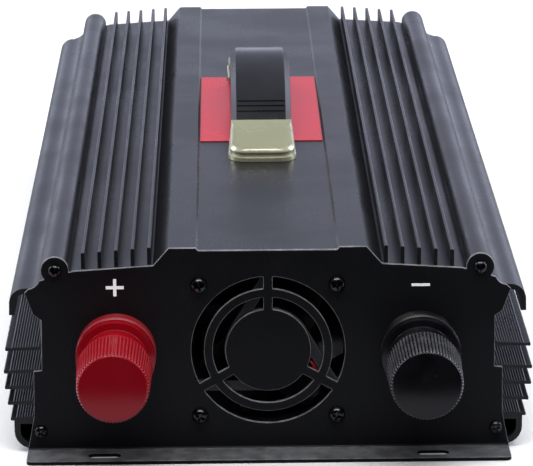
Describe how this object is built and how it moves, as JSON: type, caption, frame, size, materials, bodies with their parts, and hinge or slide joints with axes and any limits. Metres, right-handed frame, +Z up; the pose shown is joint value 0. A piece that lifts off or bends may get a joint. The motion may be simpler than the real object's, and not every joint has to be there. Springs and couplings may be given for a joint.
{
  "type": "power inverter",
  "caption": "Long finned aluminium DC to AC power inverter with knob battery terminals, a fan guard, a strap handle and slotted feet.",
  "frame": {"origin": "centre of the four foot slots, on the resting plane", "axes": "+Z up, front panel with the battery terminals and the fan faces -Y, AC outlets face +Y, +X is to the right seen from the front"},
  "size_m": [0.193, 0.468, 0.103],
  "materials": {
    "case_paint": "satin charcoal anodised finish with fine speckle",
    "panel_paint": "near-black fine-textured powder coat",
    "screw_black": "black oxide",
    "label_red": "glossy printed film",
    "fan_plastic": "black glass-filled plastic",
    "copper": "copper",
    "knob_red": "glossy red",
    "knob_black": "glossy black",
    "brass": "bare brass",
    "insulator_red": "moulded",
    "plated_steel": "zinc plated",
    "strap_rubber": "satin vinyl",
    "cap_gold": "champagne gold plated die-casting",
    "fish_paper": "pressed insulating sheet",
    "board_green": "solder mask",
    "board_blue": "solder mask",
    "fuse_amber": "tinted",
    "can_sleeve": "shrink sleeve",
    "ferrite": "sintered ferrite",
    "winding": "taped enamelled wire",
    "chip_black": "moulded epoxy",
    "thermal_grey": "silicone pad",
    "block_green": "moulded",
    "socket_cream": "moulded",
    "switch_black": "moulded",
    "switch_red": "moulded",
    "light_green": "tinted lens",
    "light_red": "tinted lens",
    "lead_red": "insulated wire",
    "lead_black": "insulated wire",
    "lead_brown": "insulated wire",
    "lead_blue": "insulated wire"
  },
  "bodies": {
    "case": {"top_cover": "case_paint", "base_chassis": "case_paint", "front_panel": "panel_paint", "rear_panel": "panel_paint", "front_panel_screws": "screw_black", "rear_panel_screws": "screw_black", "label_plate": "label_red", "fan_frame": "fan_plastic", "fan_stator": "copper", "fan_screws": "screw_black", "positive_terminal_base": "knob_red", "positive_stud": "brass", "negative_terminal_base": "knob_black", "negative_stud": "brass", "terminal_insulators": "insulator_red", "terminal_nuts": "plated_steel", "positive_busbar": "copper", "negative_busbar": "copper", "handle_strap": "strap_rubber", "handle_core": "plated_steel", "handle_front_cap": "cap_gold", "handle_rear_cap": "cap_gold", "handle_screws": "plated_steel", "insulation_sheet": "fish_paper", "pcb_standoffs": "brass", "floor_screws": "plated_steel", "main_pcb": "board_green", "pcb_screws": "plated_steel", "fuses": "fuse_amber", "input_capacitors": "can_sleeve", "transformer_cores": "ferrite", "transformer_windings": "winding", "mosfets": "chip_black", "thermal_pads": "thermal_grey", "mosfet_clamps": "plated_steel", "clamp_screws": "plated_steel", "output_choke": "winding", "output_capacitors": "can_sleeve", "control_board": "board_blue", "terminal_block": "block_green", "left_socket": "socket_cream", "right_socket": "socket_cream", "left_socket_contacts": "brass", "right_socket_contacts": "brass", "socket_screws": "plated_steel", "switch_housing": "switch_black", "power_light": "light_green", "fault_light": "light_red", "ground_stud": "plated_steel", "ground_nut": "brass", "fan_lead_red": "lead_red", "fan_lead_black": "lead_black", "live_lead": "lead_brown", "neutral_lead": "lead_blue"},
    "fan_rotor": {"fan_rotor": "fan_plastic"},
    "positive_washer": {"positive_washer": "brass"},
    "positive_knob": {"positive_knob": "knob_red"},
    "negative_washer": {"negative_washer": "brass"},
    "negative_knob": {"negative_knob": "knob_black"},
    "switch_rocker": {"switch_rocker": "switch_red"}
  },
  "joints": [
    {"name": "fan_spin", "type": "hinge", "parent": "case", "child": "fan_rotor", "pos_m": [0, -0.19, 0.039], "axis": [0, 1, 0], "continuous": true},
    {"name": "positive_knob_travel", "type": "slide", "parent": "case", "child": "positive_washer", "axis": [0, -1, 0], "range_m": [0, 0.01625]},
    {"name": "positive_knob_turn", "type": "hinge", "parent": "positive_washer", "child": "positive_knob", "pos_m": [-0.0553, -0.2125, 0.039], "axis": [0, -1, 0], "range_deg": [0, 4690]},
    {"name": "negative_knob_travel", "type": "slide", "parent": "case", "child": "negative_washer", "axis": [0, -1, 0], "range_m": [0, 0.01625]},
    {"name": "negative_knob_turn", "type": "hinge", "parent": "negative_washer", "child": "negative_knob", "pos_m": [0.0553, -0.2125, 0.039], "axis": [0, -1, 0], "range_deg": [0, 4690]},
    {"name": "power_switch", "type": "hinge", "parent": "case", "child": "switch_rocker", "pos_m": [0.042, 0.2035, 0.053], "axis": [1, 0, 0], "range_deg": [0, 24]}
  ],
  "couplings": [
    {"joint": "positive_knob_turn", "follows": "positive_knob_travel", "rad_per_m": 5026.5},
    {"joint": "negative_knob_turn", "follows": "negative_knob_travel", "rad_per_m": 5026.5}
  ]
}
